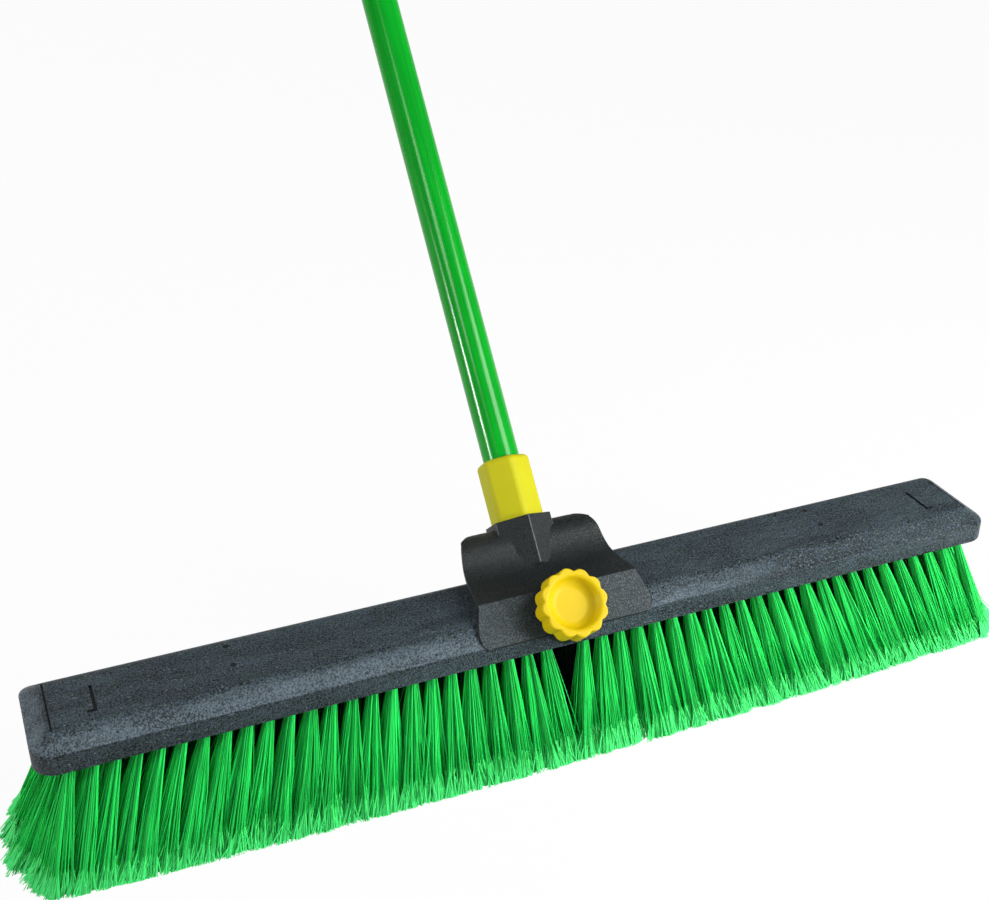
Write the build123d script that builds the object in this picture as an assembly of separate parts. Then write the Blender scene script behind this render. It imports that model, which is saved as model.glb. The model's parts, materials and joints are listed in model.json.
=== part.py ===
from build123d import *
from math import atan2, cos, degrees, radians, sin, tan
import os

# Wide floor broom, in millimetres. X runs along the brush block, Y from the knob's side towards the handle, Z up.
# The pieces are made on the floor, over the middle of the bristle tips, and moved so that the origin is where
# a hand or a clamp holds the handle.

# Brush block
BLOCK_LENGTH = 609.6
BLOCK_WIDTH = 66.0
BLOCK_HEIGHT = 21.0
BLOCK_WALL = 12.4  # upright part of the sides, below the bevel
BLOCK_BEVEL = 11.7  # how far the bevel runs in over the top
BLOCK_CORNER = 15.2
SHOULDER_RADIUS = 5.0
TRIM = 68.0  # height of the block's underside over the floor
MARK_INSET = 36.8  # moulded bracket-shaped marks on the top, from each end
MARK_FORWARD = 2.5  # middle of the marks in front of the block's middle
MARK_LENGTH = 23.0
MARK_FOOT = 4.6
MARK_WIDTH = 1.8
MARK_DEPTH = 1.0

# Bristle tufts, in four straight rows on both sides of a wider middle gap
TUFT_PITCH = 12.03
TUFT_MIDDLE_GAP = 22.3
TUFT_END_MARGIN = 14.0  # least distance from the last tuft to the block's end
TUFT_ROOT = 3.9  # half the root's width
TUFT_TIP_GAP = 0.3
TUFT_SPREAD = 1.115  # how much further apart the tips stand along the block
ROW_EDGE = 8.1  # outer rows from the block's sides
ROW_FLARE = 33.0  # how far the outer rows' tips reach out past their roots
HOLE_DEPTH = 12.0
HOLE_CLEARANCE = 0.1
STAPLE_BITE = 0.5
STAPLE_WIRE = 0.5
STAPLE_HEIGHT = 1.8
STAPLE_FROM_ROOT = 2.5

# Handle: its axis leans back and crosses the plane of the block's top a little in front of the block's back
HANDLE_LEAN = 41.0
HANDLE_FROM_BACK = 6.0
HANDLE_LENGTH = 1524.0
TUBE_DIAMETER = 23.0
TUBE_WALL = 0.8
TUBE_SWAGE = 0.4  # the lower end is drawn in by this much to go into the ferrule
TUBE_CLEARANCE = 0.05
GRIP_FROM_END = 300.0

# Hexagonal ferrule on the handle, keyed in the bracket's socket
FERRULE_FLATS = 30.0
FERRULE_SHOWN = 39.3
FERRULE_FLOOR = 8.0
FERRULE_SHOULDER = 2.6
SOCKET_WALL = 3.1
SOCKET_DEPTH = 26.8
SOCKET_FLOOR = 3.4
SOCKET_CLEARANCE = 0.1

# Bracket
APRON_SLOPE = 45.0
APRON_LIP = 1.4  # how far the apron's lower edge stands off the block's front
APRON_DROP = 0.7  # lower edge below the block's shoulder
APRON_CORNER = 6.5
CREASE_RISE = 9.7  # crease over the block's top
HUMP_RADIUS = 14.5
HUMP_RISE = 7.5  # hump's centre over the block's top
HUMP_BLEND = 22.0
BRACKET_FRONT_HALF = 59.0
BRACKET_CREASE_HALF = 51.4
BRACKET_BACK_HALF = 42.5
CORE_HALF = 33.0  # beyond this, to both sides, the bracket is a skin, open at the back and underneath
SKIN = 2.8
SKIN_PAST_CROWN = 7.0
SKIRT_THICKNESS = 3.6
SKIRT_BOTTOM = 4.6  # over the block's underside
HOOK_REACH = 2.0
HOOK_HEIGHT = 3.0
HOOK_CLEARANCE = 0.2

# Knob, its stud and washer, and the insert in the block
KNOB_UP_SLOPE = 13.0  # knob's axis from the apron's lower edge, along the slope
KNOB_LOBES = 12
KNOB_RADIUS = 20.6
KNOB_VALLEY = 18.7
LOBE_RADIUS = 3.9
KNOB_HEIGHT = 14.0
KNOB_EDGE = 0.9
DISH_RADIUS = 16.0
DISH_DEPTH = 6.5
DISH_TAPER = 18.0
PAD_RADIUS = 19.0
SEAT_RADIUS = 11.0
SEAT_RISE = 3.0
WASHER_RADIUS = 9.0
WASHER_HEIGHT = 1.6
STUD_RADIUS = 3.92
STUD_HEAD_FLATS = 13.0
STUD_HEAD_HEIGHT = 4.5
STUD_HEAD_COVER = 1.6
STUD_INTO_INSERT = 15.0
STUD_CLEARANCE = 0.6
THREAD_CLEARANCE = 0.08
INSERT_RADIUS = 5.6
INSERT_LENGTH = 16.0
INSERT_SUNK = 5.0
INSERT_CLEARANCE = 0.05

# Screw through the back of the socket into the tube
SCREW_RADIUS = 2.1
SCREW_CLEARANCE = 0.1
SCREW_UP_SOCKET = 16.0
SCREW_POINT = 3.0  # how far it stands out inside the tube
SCREW_HEAD_RADIUS = 4.0
SCREW_HEAD_HEIGHT = 2.4
SCREW_TURN = 150.0  # round the handle, from the hexagon's front corner

# Hang-up cap on the handle's upper end
CAP_PLUG = 26.0
CAP_COLLAR = 5.0
CAP_STEP = 0.3  # the collar stands in from the tube's outside
CAP_HEAD = 32.0
CAP_TAB = 12.0
HANG_HOLE_RADIUS = 4.5
HANG_HOLE_FROM_END = 12.5

BLOCK_TOP = TRIM + BLOCK_HEIGHT
BLOCK_SHOULDER = TRIM + BLOCK_WALL
HALF_WIDTH = BLOCK_WIDTH / 2
BEVEL_ANGLE = degrees(atan2(BLOCK_BEVEL, BLOCK_HEIGHT - BLOCK_WALL))
HEX_CORNER = 1 / cos(radians(30))  # a hexagon's corner radius, per half of its width across flats

ROW_OUTER = HALF_WIDTH - ROW_EDGE
ROW_INNER = ROW_OUTER / 3
ROWS = {
    "tufts_front": -ROW_OUTER,
    "tufts_mid_front": -ROW_INNER,
    "tufts_mid_back": ROW_INNER,
    "tufts_back": ROW_OUTER,
}

RIGHT = Vector(1, 0, 0)
LEAN = radians(HANDLE_LEAN)
HANDLE_DIRECTION = Vector(0, sin(LEAN), cos(LEAN))
HANDLE_CROSSING = Vector(0, HALF_WIDTH - HANDLE_FROM_BACK, BLOCK_TOP)
SLOPE = radians(APRON_SLOPE)
UP_SLOPE = Vector(0, cos(SLOPE), sin(SLOPE))
APRON_EDGE = Vector(0, -HALF_WIDTH - APRON_LIP, BLOCK_SHOULDER - APRON_DROP)
CREASE = APRON_EDGE + UP_SLOPE * ((BLOCK_TOP + CREASE_RISE - APRON_EDGE.Z) / sin(SLOPE))
HUMP = HANDLE_CROSSING + HANDLE_DIRECTION * (HUMP_RISE / cos(LEAN))
HUMP_BACK = HUMP.Y + HUMP_RADIUS
KNOB_PLANE = Plane(APRON_EDGE + UP_SLOPE * KNOB_UP_SLOPE, x_dir=RIGHT, z_dir=RIGHT.cross(UP_SLOPE))
KNOB_BASE = SEAT_RISE + WASHER_HEIGHT
SKIRT_BACK = HALF_WIDTH + SKIRT_THICKNESS
SKIRT_FOOT = TRIM + SKIRT_BOTTOM


def along_handle(point):
    """How far up the handle's axis a point lies, from where the axis crosses the block's top plane."""
    return (point - HANDLE_CROSSING).dot(HANDLE_DIRECTION)


def on_handle(distance):
    """Plane square to the handle, this far up its axis. Its own y points to the back of the hexagon."""
    return Plane(HANDLE_CROSSING + HANDLE_DIRECTION * distance, x_dir=RIGHT, z_dir=HANDLE_DIRECTION)


BACK_BEVEL = (Vector(0, HALF_WIDTH - BLOCK_BEVEL, BLOCK_TOP), Vector(0, HALF_WIDTH, BLOCK_SHOULDER))
FLOOR_UP = max(along_handle(p) for p in BACK_BEVEL) + SOCKET_FLOOR
TUBE_UP = FLOOR_UP + FERRULE_FLOOR
FERRULE_TOP_UP = FLOOR_UP + SOCKET_DEPTH + FERRULE_SHOWN
TUBE_END_UP = TUBE_UP + HANDLE_LENGTH - CAP_HEAD
TUBE_RADIUS = TUBE_DIAMETER / 2
SWAGE_RADIUS = TUBE_RADIUS - TUBE_SWAGE
ORIGIN = on_handle(TUBE_UP + HANDLE_LENGTH - GRIP_FROM_END).origin
SOCKET_FLATS = FERRULE_FLATS + 2 * SOCKET_CLEARANCE
BOSS_FLATS = SOCKET_FLATS + 2 * SOCKET_WALL


def hexagon(flats):
    """Hexagon with corners to the front and back, and flats to the left and right."""
    return RegularPolygon(flats / 2 * HEX_CORNER, 6, rotation=30)


def tuft_places():
    """Root positions along one row, left to right."""
    count = 1 + int((BLOCK_LENGTH / 2 - TUFT_END_MARGIN - TUFT_MIDDLE_GAP / 2) / TUFT_PITCH)
    half = [TUFT_MIDDLE_GAP / 2 + k * TUFT_PITCH for k in range(count)]
    return [-x for x in reversed(half)] + half


def row_fan(row):
    """Where a row's tips begin and end in Y."""
    reach = ROW_OUTER + ROW_FLARE
    middle = reach / 2
    inner = (TUFT_TIP_GAP / 2, middle - TUFT_TIP_GAP / 2)
    outer = (middle + TUFT_TIP_GAP / 2, reach)
    near, far = outer if abs(row) == ROW_OUTER else inner
    return (near, far) if row > 0 else (-far, -near)


def bundle(x, y, z, half, reach):
    """Corners of a tuft's six-sided section, with its flats to the left and right."""
    flank = reach - half * tan(radians(30))
    corners = [(half, -flank), (half, flank), (0, reach), (-half, flank), (-half, -flank), (0, -reach)]
    return [Vector(x + dx, y + dy, z) for dx, dy in corners]


def tuft(x, row, grow=0.0):
    """One tuft: a bundle that fans out from its root in the block to its tips on the floor."""
    fan_from, fan_to = row_fan(row)
    tip_x, tip_y = x * TUFT_SPREAD, (fan_from + fan_to) / 2
    lean = HOLE_DEPTH / TRIM
    root_x, root_y = x + (x - tip_x) * lean, row + (row - tip_y) * lean
    tip_half = (TUFT_PITCH * TUFT_SPREAD - TUFT_TIP_GAP) / 2
    root_half = TUFT_ROOT + grow
    tip = bundle(tip_x, tip_y, 0, tip_half + grow, (fan_to - fan_from) / 2 + grow)
    root = bundle(root_x, root_y, TRIM + HOLE_DEPTH, root_half, root_half * HEX_CORNER)
    outlines = [tip, root] + [[tip[k - 1], tip[k], root[k], root[k - 1]] for k in range(len(tip))]
    return Solid(Shell([Face(Wire.make_polygon(points)) for points in outlines]))


def tuft_row(row, grow=0.0):
    return [tuft(x, row, grow) for x in tuft_places()]


def staple_row(row):
    """Flat wire across each tuft's fold, with its ends in the walls of the hole."""
    lean = (HOLE_DEPTH - STAPLE_FROM_ROOT) / TRIM
    y = row + (row - sum(row_fan(row)) / 2) * lean
    z = TRIM + HOLE_DEPTH - STAPLE_FROM_ROOT
    wire = Box(2 * (TUFT_ROOT + HOLE_CLEARANCE + STAPLE_BITE), STAPLE_WIRE, STAPLE_HEIGHT)
    return [Pos(x - x * (TUFT_SPREAD - 1) * lean, y, z) * wire for x in tuft_places()]


def end_mark(side):
    """Bracket-shaped mark, its foot at the front pointing to the block's end."""
    x = side * (BLOCK_LENGTH / 2 - MARK_INSET)
    foot_y = -MARK_FORWARD + (MARK_WIDTH - MARK_LENGTH) / 2
    stem = Pos(x, -MARK_FORWARD, BLOCK_TOP) * Box(MARK_WIDTH, MARK_LENGTH, 2 * MARK_DEPTH)
    foot = Pos(x + side * MARK_FOOT / 2, foot_y, BLOCK_TOP) * Box(MARK_FOOT, MARK_WIDTH, 2 * MARK_DEPTH)
    return stem + foot


def make_block():
    outline = RectangleRounded(BLOCK_LENGTH, BLOCK_WIDTH, BLOCK_CORNER)
    lower = extrude(Pos(0, 0, TRIM) * outline, BLOCK_WALL)
    upper = extrude(Pos(0, 0, BLOCK_SHOULDER) * outline, BLOCK_HEIGHT - BLOCK_WALL, taper=BEVEL_ANGLE)
    block = lower + upper
    levels = block.edges().group_by(Axis.Z)
    block = fillet(levels[-1] + levels[-3], SHOULDER_RADIUS)  # top edge and shoulder
    block -= end_mark(-1) + end_mark(1)
    # seat of the threaded insert, in line with the knob
    block -= extrude(KNOB_PLANE * Circle(INSERT_RADIUS + INSERT_CLEARANCE), -INSERT_SUNK - INSERT_LENGTH)
    # groove in the back for the bracket's hook
    groove = Box(
        2 * (CORE_HALF + HOOK_CLEARANCE),
        2 * (HOOK_REACH + HOOK_CLEARANCE),
        HOOK_HEIGHT + 2 * HOOK_CLEARANCE,
    )
    block -= Pos(0, HALF_WIDTH, SKIRT_FOOT + HOOK_HEIGHT / 2) * groove
    for row in ROWS.values():
        block -= tuft_row(row, HOLE_CLEARANCE)
    return block


def block_section():
    """Sharp cross-section of the block."""
    top = HALF_WIDTH - BLOCK_BEVEL
    right = [(top, BLOCK_TOP), (HALF_WIDTH, BLOCK_SHOULDER), (HALF_WIDTH, TRIM)]
    return make_face(Polyline([(-y, z) for y, z in reversed(right)] + right, close=True))


def bracket_section():
    """Section of the saddle: apron, shelf, hump and back skirt, with the block's shape still in it."""
    points = [
        (-HALF_WIDTH, APRON_EDGE.Z - APRON_LIP),
        (APRON_EDGE.Y, APRON_EDGE.Z),
        (CREASE.Y, CREASE.Z),
        (HUMP.Y, HUMP.Z),
        (HUMP_BACK, HUMP.Z),
        (SKIRT_BACK, SKIRT_FOOT + HOOK_HEIGHT),
        (SKIRT_BACK, SKIRT_FOOT),
        (HALF_WIDTH, SKIRT_FOOT),
    ]
    section = make_face(Polyline(points, close=True)) + Pos(HUMP.Y, HUMP.Z) * Circle(HUMP_RADIUS)
    valley = section.vertices().sort_by_distance((HUMP.Y - HUMP_RADIUS, HUMP.Z))[0]
    return fillet(valley, HUMP_BLEND)


def bracket_plan():
    """Outline from above: the apron flares to the front, the hump narrows to the back."""
    side = [
        (BRACKET_FRONT_HALF, APRON_EDGE.Y),
        (BRACKET_CREASE_HALF, CREASE.Y),
        (BRACKET_BACK_HALF, HUMP_BACK),
    ]
    outline = make_face(Polyline(side + [(-x, y) for x, y in reversed(side)], close=True))
    return fillet(outline.vertices().group_by(Axis.Y)[0], APRON_CORNER)


def end_hollow():
    """Section of what is left out behind the skin of the bracket's ends."""
    crown = HUMP.Z + HUMP_RADIUS
    skin_end = HUMP.Y + SKIN_PAST_CROWN
    inside = offset(bracket_section(), -SKIN)
    behind = Pos(skin_end, TRIM) * Rectangle(2 * HUMP_RADIUS, crown - TRIM, align=(Align.MIN, Align.MIN))
    under = Pos(HUMP.Y, TRIM) * Rectangle(2 * HUMP_RADIUS, HUMP.Z - TRIM, align=(Align.MIN, Align.MIN))
    return inside + behind + under


def make_bracket():
    reach = BRACKET_FRONT_HALF
    saddle = extrude(Plane.YZ * bracket_section(), reach, both=True)
    saddle &= extrude(bracket_plan(), HUMP.Z + HUMP_RADIUS)
    for side in (-1, 1):
        saddle -= extrude(Plane.YZ.offset(side * CORE_HALF) * end_hollow(), side * reach)
    # round pad under the knob, bulging over the apron's lower edge, and the raised seat of the washer
    pad = extrude(KNOB_PLANE * Circle(PAD_RADIUS), -PAD_RADIUS / 2)
    seat = extrude(KNOB_PLANE * Circle(SEAT_RADIUS), SEAT_RISE)
    boss = extrude(on_handle(FLOOR_UP - SOCKET_FLOOR) * hexagon(BOSS_FLATS), SOCKET_FLOOR + SOCKET_DEPTH)
    bracket = saddle + pad + seat + boss
    bracket -= extrude(Plane.YZ * block_section(), reach, both=True)
    bracket -= extrude(on_handle(FLOOR_UP) * hexagon(SOCKET_FLATS), 2 * SOCKET_DEPTH)
    stud_hole = KNOB_PLANE * Circle(STUD_RADIUS + STUD_CLEARANCE)
    bracket -= extrude(stud_hole, PAD_RADIUS, both=True)
    bracket -= screw_bore()
    # hook along the bottom of the back skirt
    hook = Box(2 * CORE_HALF, HOOK_REACH, HOOK_HEIGHT)
    return bracket + Pos(0, HALF_WIDTH - HOOK_REACH / 2, SKIRT_FOOT + HOOK_HEIGHT / 2) * hook


def screw_plane():
    """On a back face of the socket's boss, looking outwards."""
    base = on_handle(FLOOR_UP + SCREW_UP_SOCKET)
    turn = radians(SCREW_TURN)
    outward = base.x_dir * sin(turn) - base.y_dir * cos(turn)
    return Plane(base.origin + outward * (BOSS_FLATS / 2), x_dir=HANDLE_DIRECTION, z_dir=outward)


def screw_bore():
    return extrude(screw_plane() * Circle(SCREW_RADIUS + SCREW_CLEARANCE), -BOSS_FLATS / 2)


def make_handle_screw():
    length = BOSS_FLATS / 2 - SWAGE_RADIUS + TUBE_WALL + SCREW_POINT
    head = extrude(screw_plane() * Circle(SCREW_HEAD_RADIUS), SCREW_HEAD_HEIGHT)
    return head + extrude(screw_plane() * Circle(SCREW_RADIUS), -length)


def make_ferrule():
    handle_axis = Axis(HANDLE_CROSSING, HANDLE_DIRECTION)
    body = extrude(on_handle(FLOOR_UP) * hexagon(FERRULE_FLATS), FERRULE_TOP_UP - FLOOR_UP)
    body = fillet(body.faces().sort_by(handle_axis)[-1].edges(), FERRULE_SHOULDER)
    body -= extrude(on_handle(TUBE_UP) * Circle(SWAGE_RADIUS + TUBE_CLEARANCE), HANDLE_LENGTH)
    return body - screw_bore()


def tube_length(radius, start, end):
    wall = Circle(radius) - Circle(radius - TUBE_WALL)
    return extrude(on_handle(start) * wall, end - start)


def make_handle_tube():
    swaged = tube_length(SWAGE_RADIUS, TUBE_UP, FERRULE_TOP_UP)
    return swaged + tube_length(TUBE_RADIUS, FERRULE_TOP_UP, TUBE_END_UP) - screw_bore()


def make_handle_cap():
    """Plug in the tube, a collar on its end, and a rounded tab with a hole to hang the broom by."""
    radius = TUBE_RADIUS - CAP_STEP
    base = on_handle(TUBE_END_UP)
    plug = extrude(base * Circle(TUBE_RADIUS - TUBE_WALL - TUBE_CLEARANCE), -CAP_PLUG)
    collar = extrude(base * Circle(radius), CAP_COLLAR)
    side = Plane(base.origin, x_dir=base.y_dir, z_dir=RIGHT)
    outline = SlotCenterPoint((0, 0), (0, CAP_HEAD - radius), 2 * radius)
    tab = extrude(side * outline, CAP_TAB / 2, both=True) & extrude(base * Circle(radius), CAP_HEAD)
    hole = Pos(0, CAP_HEAD - HANG_HOLE_FROM_END) * Circle(HANG_HOLE_RADIUS)
    return plug + collar + tab - extrude(side * hole, radius, both=True)


def make_knob():
    lobes = PolarLocations(KNOB_RADIUS - LOBE_RADIUS, KNOB_LOBES) * Circle(LOBE_RADIUS)
    face = KNOB_PLANE.offset(KNOB_BASE + KNOB_HEIGHT)
    knob = extrude(face * (Circle(KNOB_VALLEY) + lobes), -KNOB_HEIGHT)
    knob = chamfer(knob.faces().sort_by(Axis(KNOB_PLANE.origin, KNOB_PLANE.z_dir))[-1].edges(), KNOB_EDGE)
    dish_floor = DISH_RADIUS - DISH_DEPTH * tan(radians(DISH_TAPER))
    dish = loft([face * Circle(DISH_RADIUS), face.offset(-DISH_DEPTH) * Circle(dish_floor)])
    return knob - dish - make_knob_stud()


def make_knob_stud():
    head_plane = KNOB_PLANE.offset(KNOB_BASE + STUD_HEAD_COVER)
    shank = KNOB_BASE + STUD_HEAD_COVER + INSERT_SUNK + STUD_INTO_INSERT
    return extrude(head_plane * hexagon(STUD_HEAD_FLATS), STUD_HEAD_HEIGHT) + extrude(
        head_plane * Circle(STUD_RADIUS), -shank
    )


def make_knob_washer():
    ring = Circle(WASHER_RADIUS) - Circle(STUD_RADIUS + THREAD_CLEARANCE)
    return extrude(KNOB_PLANE.offset(SEAT_RISE) * ring, WASHER_HEIGHT)


def make_block_insert():
    ring = Circle(INSERT_RADIUS) - Circle(STUD_RADIUS + THREAD_CLEARANCE)
    return extrude(KNOB_PLANE.offset(-INSERT_SUNK) * ring, -INSERT_LENGTH)


def main():
    pieces = {name: Compound(children=tuft_row(row)) for name, row in ROWS.items()}
    pieces["tuft_staples"] = Compound(children=[s for row in ROWS.values() for s in staple_row(row)])
    pieces["block"] = make_block()
    pieces["block_insert"] = make_block_insert()
    pieces["bracket"] = make_bracket()
    pieces["ferrule"] = make_ferrule()
    pieces["handle_tube"] = make_handle_tube()
    pieces["handle_cap"] = make_handle_cap()
    pieces["handle_screw"] = make_handle_screw()
    pieces["knob"] = make_knob()
    pieces["knob_stud"] = make_knob_stud()
    pieces["knob_washer"] = make_knob_washer()
    os.makedirs("parts", exist_ok=True)
    for name, piece in pieces.items():
        export_step(piece.moved(Pos(-ORIGIN)), f"parts/{name}.step")


main()
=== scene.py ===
"""Looks of a wide floor broom: bristles, brush block, bracket, knob, handle, and the studio round them."""
import json
import math

import bmesh
import bpy
import numpy as np
from bpy.props import FloatProperty, FloatVectorProperty, IntProperty, PointerProperty
from mathutils import Matrix, Vector


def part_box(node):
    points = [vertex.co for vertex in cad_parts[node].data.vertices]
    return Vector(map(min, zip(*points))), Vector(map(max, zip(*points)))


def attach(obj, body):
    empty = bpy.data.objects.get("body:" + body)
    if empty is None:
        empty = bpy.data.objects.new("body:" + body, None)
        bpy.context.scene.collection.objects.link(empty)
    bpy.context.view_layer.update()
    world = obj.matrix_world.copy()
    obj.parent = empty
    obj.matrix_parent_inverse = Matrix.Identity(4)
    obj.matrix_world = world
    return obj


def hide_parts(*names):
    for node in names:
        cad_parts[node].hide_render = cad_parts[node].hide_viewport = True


bl_info = {
    "name": "Wide floor broom",
    "version": (1, 0, 0),
    "blender": (4, 5, 0),
    "location": "View3D > Sidebar > Broom",
    "description": "Models the broom's visible pieces round its construction and lights them",
    "category": "Add Mesh",
}

MM = 0.001
STRAND_MAP = "OFBake"  # UV map with each strand's tone and the way along it

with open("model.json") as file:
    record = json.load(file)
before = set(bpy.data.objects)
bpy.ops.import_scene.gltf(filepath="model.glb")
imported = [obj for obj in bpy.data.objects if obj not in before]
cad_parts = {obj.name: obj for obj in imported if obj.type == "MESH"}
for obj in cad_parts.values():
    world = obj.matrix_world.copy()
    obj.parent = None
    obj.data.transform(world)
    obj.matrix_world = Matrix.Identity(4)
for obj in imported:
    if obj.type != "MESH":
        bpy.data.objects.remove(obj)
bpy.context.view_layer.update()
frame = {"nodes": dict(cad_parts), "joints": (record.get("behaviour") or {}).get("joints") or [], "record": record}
MOUNTS = {mount["name"]: mount for mount in frame["record"]["mounts"]}
JOINTS = {joint["name"]: joint for joint in frame["joints"]}


def mount_place(name):
    """Point and direction of one of the broom's mounts."""
    mount = MOUNTS[name]
    return Vector(mount["pos_m"]), Vector(mount["axis"]).normalized()


RIGHT = Vector((1, 0, 0))
UP = Vector((0, 0, 1))
FOOT, _ = mount_place("bristle_tips")
FOOT_POINT = np.array(FOOT)
GRIP, HANDLE_AXIS = mount_place("handle_shaft")
KNOB_AXIS = Vector(JOINTS["knob_feed"]["axis"]).normalized()
BLOCK_LOW, BLOCK_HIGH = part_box("block")
BLOCK_CENTRE = (BLOCK_LOW + BLOCK_HIGH) / 2
BLOCK_SPAN = BLOCK_HIGH - BLOCK_LOW
BLOCK_ENDS = {-1: BLOCK_LOW.x, 1: BLOCK_HIGH.x}
WASHER_LOW, WASHER_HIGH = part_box("knob_washer")
WASHER_CENTRE = (WASHER_LOW + WASHER_HIGH) / 2
TRIM = BLOCK_LOW.z - FOOT.z
BLOCK_HALF_WIDTH = BLOCK_HIGH.y - FOOT.y
TIP_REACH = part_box("tufts_back")[1].y - FOOT.y


def screen(red, green, blue):
    """Linear colour of a colour as a screen shows it, from 0 to 255."""

    def linear(level):
        share = level / 255
        return share / 12.92 if share <= 0.04045 else ((share + 0.055) / 1.055) ** 2.4

    return (linear(red), linear(green), linear(blue))


def number(name, description, default):
    return IntProperty(name=name, description=description, default=default)


def ratio(name, description, default):
    return FloatProperty(name=name, description=description, default=default)


def camera_angle(name, description, degrees):
    return FloatProperty(name=name, description=description, default=math.radians(degrees), subtype="ANGLE")


def length(name, description, millimetres):
    return FloatProperty(
        name=name, description=description, default=millimetres * MM, unit="LENGTH", precision=5
    )


def colour(name, description, red, green, blue):
    return FloatVectorProperty(
        name=name, description=description, default=screen(red, green, blue),
        size=3, subtype="COLOR", min=0, max=1,
    )


# Sizes and colours


class BristleSettings(bpy.types.PropertyGroup):
    """The green filament tufts"""

    tufts_per_side: number("Tufts per side", "Tufts in a row on each side", 24)
    pitch: length("Pitch", "From one tuft to the next along the block", 11.86)
    middle_gap: length("Middle gap", "Between the two tufts at the middle", 25.2)
    row_inset: length("Row inset", "Outer rows from the block's sides", 8.1)
    root_radius: length("Root radius", "Half the width of a tuft where it leaves the block", 2.9)
    root_depth: length("Root depth", "How far the strands reach up into the block", 6.0)
    spread: ratio("Spread", "How much further apart the tips stand", 1.115)
    fan: length("Fan", "Half the width of a tuft at its tips, along the block", 11.0)
    gather: ratio("Gather", "How much a tuft holds together half way down", 0.03)
    end_draw: ratio("End draw", "How much shorter the ends of the outer rows reach", 0.13)
    corner_draw: length("Corner draw", "How far the corners of the tips' outline draw in", 30.0)
    gap_fill: length("Gap fill", "How far the outer rows' middle tufts lean into the gap", 7.6)
    inner_fill: length("Inner fill", "How far the inner rows' middle tufts lean into the gap", 9.0)
    wisps: number("Wisps", "Locks in one tuft that hold together", 40)
    strands: number("Strands", "Strands in one wisp", 8)
    strand_radius: length("Strand radius", "Half a strand's thickness at the root", 0.26)
    tip_radius: length("Tip radius", "Half a strand's thickness at its flagged tip", 0.34)
    split_ends: number("Split ends", "Split ends added to an outer tuft's tips", 580)
    split_spread: length("Split spread", "How far split ends stand apart", 2.0)
    split_radius: length("Split radius", "Half a split end's thickness", 0.36)
    # Painted shade: inner_shade darkens the inner rows' tone, and the root colour paints shade where the strands
    # leave the block.
    inner_shade: ratio("Inner shade", "Tone of the inner rows", 0.22)
    painted_root_shade: colour("Root colour", "Strands where they leave the block", 1, 14, 6)
    deep_colour: colour("Deep colour", "Strands in the shade of the others", 9, 132, 42)
    body_colour: colour("Body colour", "Strands in the light", 38, 246, 105)
    tip_colour: colour("Tip colour", "Split ends of the strands", 68, 222, 116)


class BlockSettings(bpy.types.PropertyGroup):
    """The brush block"""

    wall: length("Wall", "Upright part of the sides, below the bevel", 12.4)
    bevel: length("Bevel", "How far the bevel runs in over the top", 11.7)
    front_corner: length("Front corner", "Radius of the front corners seen from above", 13.0)
    back_corner: length("Back corner", "Radius of the back corners seen from above", 6.5)
    top_corner: length("Top corner", "Radius of the corners of the flat top", 4.2)
    shoulder: length("Shoulder", "Radius along the bevel's outer edge", 2.0)
    crown: length("Crown", "Radius along the bevel's upper edge", 8.0)
    edge: length("Edge", "Radius along the lower edge", 1.2)
    mark_inset: length("Mark inset", "Moulded marks from the block's ends", 36.8)
    mark_forward: length("Mark forward", "Moulded marks in front of the block's middle", 2.5)
    mark_length: length("Mark length", "Stem of a moulded mark", 23.0)
    mark_foot: length("Mark foot", "Foot of a moulded mark", 4.6)
    mark_width: length("Mark width", "Width of a moulded mark's groove", 1.8)
    mark_depth: length("Mark depth", "Depth of a moulded mark's groove", 1.0)
    crease: length("Crease", "Width of the crease across the ends of the top", 1.0)
    gate_place: length("Gate place", "Gate marks from the block's middle, along it", 192.0)
    gate_pitch: length("Gate pitch", "Between the gate marks across the block", 18.4)
    gate_forward: length("Gate forward", "Gate marks in front of the block's middle", 3.2)
    gate_radius: length("Gate radius", "Half the width of a gate mark", 1.9)
    gate_depth: length("Gate depth", "Depth of a gate mark", 0.7)
    # Where the painted highlight on the bevel and the painted shade on the left upright sides fade out.
    painted_light_from: length("Wear from", "Where the wear begins to fade, right of the block's middle", 40.0)
    painted_light_to: length("Wear to", "Where the wear has faded", 190.0)
    dark: colour("Dark", "Foam plastic in the pores", 4, 7, 9)
    light: colour("Light", "Foam plastic on the skin", 71, 89, 90)
    cool: colour("Cool", "Foam plastic where the skin is bluish", 74, 87, 101)
    # Painted highlight: bright specks along the bevel and glints all over the block.
    painted_highlight: colour("Worn", "Specks where the bevel is rubbed bright", 124, 140, 151)
    hollow: colour("Hollow", "Shade in the moulded marks", 25, 30, 33)


class BracketSettings(bpy.types.PropertyGroup):
    """The saddle that carries the handle"""

    edge: length("Edge", "Radius of the moulded edges", 0.5)
    corner: length("Corner", "Radius of the socket's corners", 0.45)
    # rim is the width of the painted shadow round the apron.
    rim: length("Rim", "Width of the dark seam round the apron", 0.8)
    crown_run: length("Crown run", "How far before the crown its ends begin to draw in", 17.0)
    crown_draw: length("Crown draw", "How far the crown's ends draw in", 3.6)
    dark: colour("Dark", "Plastic in the grain", 7, 9, 9)
    light: colour("Light", "Plastic on the grain", 35, 41, 42)
    # Painted light: the apron's two colours are a lighter copy of the bracket plastic, for the light that falls on
    # the sloping apron.
    apron: colour("Apron", "Plastic on the rubbed apron", 56, 70, 74)
    lit_apron_dark: colour("Apron dark", "Plastic in the grain of the rubbed apron", 22, 28, 30)
    # Painted highlight along the socket's corners.
    painted_highlight: colour("Worn", "Plastic rubbed bright along the socket's corners", 92, 101, 103)
    # Painted shadow: a near-black line round the apron, where its edge shades the block.
    seam: colour("Seam", "Shaded seam round the apron", 4, 5, 5)


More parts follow.
